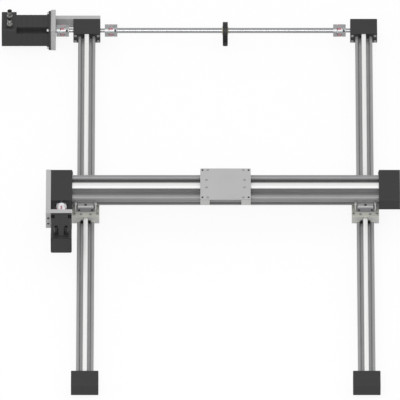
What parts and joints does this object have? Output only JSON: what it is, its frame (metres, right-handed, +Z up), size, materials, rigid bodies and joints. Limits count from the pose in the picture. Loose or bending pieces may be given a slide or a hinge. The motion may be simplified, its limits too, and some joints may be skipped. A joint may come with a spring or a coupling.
{
  "type": "two-axis belt driven linear gantry",
  "caption": "Flatbed gantry of belt driven linear axes: a motor and shared shaft drive two parallel rails, whose carriages bear a cross axis with its own motor and tool carriage.",
  "frame": {"origin": "midway between the two lower axes, halfway along them, on the plane of their end blocks' undersides, which is the centre of the frame_bolts_outer pattern", "axes": "+X along the cross axis, away from the motors; +Y along the lower axes, towards the drive shaft; +Z up, square to the mounting plane"},
  "size_m": [1.1454, 1.5017, 0.1623],
  "materials": {
    "rail_aluminium": "extruded and clear anodised, satin, with fine draw lines along the rail",
    "black_block": "black anodised, fine matt blasted surface",
    "white_belt": "white polyurethane with a faint mould seam along its middle",
    "bearing_steel": "ground rings with dull shields",
    "bright_steel": "ground and polished shaft steel",
    "screw_steel": "zinc plated, slightly dull",
    "pedestal_plastic": "black moulded plastic, fine grain",
    "bush_plastic": "yellowish plain bearing plastic",
    "plate_aluminium": "milled and clear anodised, matt",
    "adapter_aluminium": "milled, dull grey",
    "carriage_aluminium": "anodised, matt, slightly greenish",
    "motor_black": "black satin lacquer over cast and laminated metal",
    "connector_metal": "nickel plated, turned",
    "pulley_aluminium": "turned and hobbed",
    "coupling_aluminium": "bright turned",
    "red_elastomer": "red polyurethane, slightly glossy",
    "housing_zinc": "light grey die-cast zinc, matt",
    "liner_plastic": "off-white sliding plastic"
  },
  "bodies": {
    "base": {"left_rail": "rail_aluminium", "right_rail": "rail_aluminium", "left_drive_block": "black_block", "right_drive_block": "black_block", "left_idler_block": "black_block", "right_idler_block": "black_block", "left_belt": "white_belt", "right_belt": "white_belt", "drive_bearings": "bearing_steel", "idler_axles": "bright_steel", "block_screws": "screw_steel", "pedestal_bearing": "pedestal_plastic", "pedestal_bush": "bush_plastic", "motor_flange_plate": "plate_aluminium", "motor_arm_plate": "plate_aluminium", "drive_motor_flange": "motor_black", "drive_motor_body": "motor_black", "drive_motor_rear": "motor_black", "drive_motor_connectors": "connector_metal", "drive_motor_screws": "screw_steel"},
    "cross_axis": {"lower_carriage_plates": "carriage_aluminium", "lower_carriage_housings": "housing_zinc", "lower_carriage_liners": "liner_plastic", "lower_belt_clamps": "plate_aluminium", "lower_carriage_screws": "screw_steel", "adapters": "adapter_aluminium", "rail_clamps": "plate_aluminium", "levelling_screws": "bright_steel", "cross_rail": "rail_aluminium", "cross_drive_block": "black_block", "cross_idler_block": "black_block", "cross_belt": "white_belt", "cross_bearings": "bearing_steel", "cross_idler_axle": "bright_steel", "cross_axis_screws": "screw_steel", "cross_side_plate": "plate_aluminium", "cross_flange_plate": "plate_aluminium", "cross_motor_front": "motor_black", "cross_motor_body": "motor_black", "cross_motor_connectors": "motor_black"},
    "drive_line": {"drive_motor_shaft": "bright_steel", "pulley_shafts": "bright_steel", "drive_shaft": "bright_steel", "drive_pulleys": "pulley_aluminium", "coupling_hubs": "coupling_aluminium", "coupling_spiders": "red_elastomer", "coupling_screws": "screw_steel"},
    "left_idler": {"left_idler_pulley": "pulley_aluminium"},
    "right_idler": {"right_idler_pulley": "pulley_aluminium"},
    "cross_drive_line": {"cross_motor_shaft": "bright_steel", "cross_pulley_shaft": "bright_steel", "cross_drive_pulley": "pulley_aluminium", "cross_coupling_hubs": "coupling_aluminium", "cross_coupling_spider": "red_elastomer"},
    "cross_idler": {"cross_idler_pulley": "pulley_aluminium"},
    "tool_carriage": {"tool_plate": "plate_aluminium", "tool_housings": "housing_zinc", "tool_liners": "liner_plastic", "tool_belt_clamp": "plate_aluminium", "tool_screws": "screw_steel"}
  },
  "joints": [
    {"name": "y_travel", "type": "slide", "parent": "base", "child": "cross_axis", "axis": [0, 1, 0], "range_m": [-0.6, 0.6]},
    {"name": "drive_line_spin", "type": "hinge", "parent": "base", "child": "drive_line", "pos_m": [0, 0.71275, 0.019], "axis": [1, 0, 0], "range_deg": [-2405, 2405]},
    {"name": "left_idler_spin", "type": "hinge", "parent": "base", "child": "left_idler", "pos_m": [-0.4, -0.71275, 0.019], "axis": [1, 0, 0], "range_deg": [-2405, 2405]},
    {"name": "right_idler_spin", "type": "hinge", "parent": "base", "child": "right_idler", "pos_m": [0.4, -0.71275, 0.019], "axis": [1, 0, 0], "range_deg": [-2405, 2405]},
    {"name": "x_travel", "type": "slide", "parent": "cross_axis", "child": "tool_carriage", "axis": [1, 0, 0], "range_m": [-0.36, 0.36]},
    {"name": "cross_drive_spin", "type": "hinge", "parent": "cross_axis", "child": "cross_drive_line", "pos_m": [-0.469, 0, 0.0808], "axis": [0, 1, 0], "range_deg": [-1300, 1300]},
    {"name": "cross_idler_spin", "type": "hinge", "parent": "cross_axis", "child": "cross_idler", "pos_m": [0.469, 0, 0.0808], "axis": [0, 1, 0], "range_deg": [-1300, 1300]}
  ],
  "couplings": [
    {"joint": "drive_line_spin", "follows": "y_travel", "rad_per_m": -69.813},
    {"joint": "left_idler_spin", "follows": "y_travel", "rad_per_m": -69.813},
    {"joint": "right_idler_spin", "follows": "y_travel", "rad_per_m": -69.813},
    {"joint": "cross_drive_spin", "follows": "x_travel", "rad_per_m": 62.832},
    {"joint": "cross_idler_spin", "follows": "x_travel", "rad_per_m": 62.832}
  ]
}
